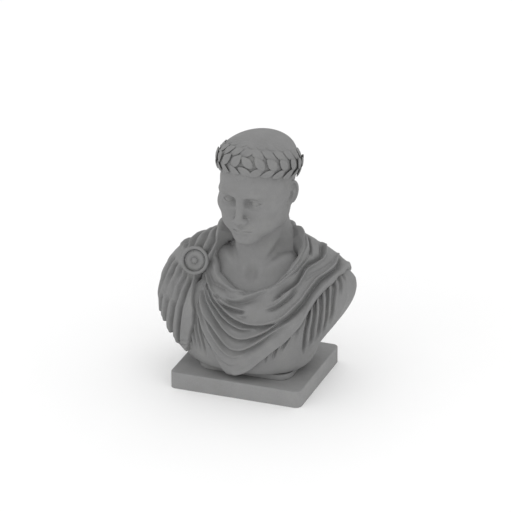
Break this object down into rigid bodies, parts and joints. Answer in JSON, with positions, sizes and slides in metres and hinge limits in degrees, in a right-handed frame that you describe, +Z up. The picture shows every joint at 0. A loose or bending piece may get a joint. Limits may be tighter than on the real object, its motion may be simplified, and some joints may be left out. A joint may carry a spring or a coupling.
{
  "type": "roman emperor bust",
  "caption": "Life-size carved stone portrait bust with a laurel wreath and a cloak pinned at the shoulder by a round brooch, on a rectangular plinth.",
  "frame": {"origin": "middle of the plinth's underside, which stands on a table or pedestal", "axes": "+Z up along the height, -Y towards the front of the figure, +X towards the figure's own left"},
  "size_m": [0.4537, 0.2717, 0.6003],
  "materials": {
    "carved_stone": "honed matte grey stone",
    "plinth_stone": "honed matte grey stone"
  },
  "bodies": {
    "root": {"bust": "carved_stone", "plinth": "plinth_stone"}
  },
  "joints": []
}
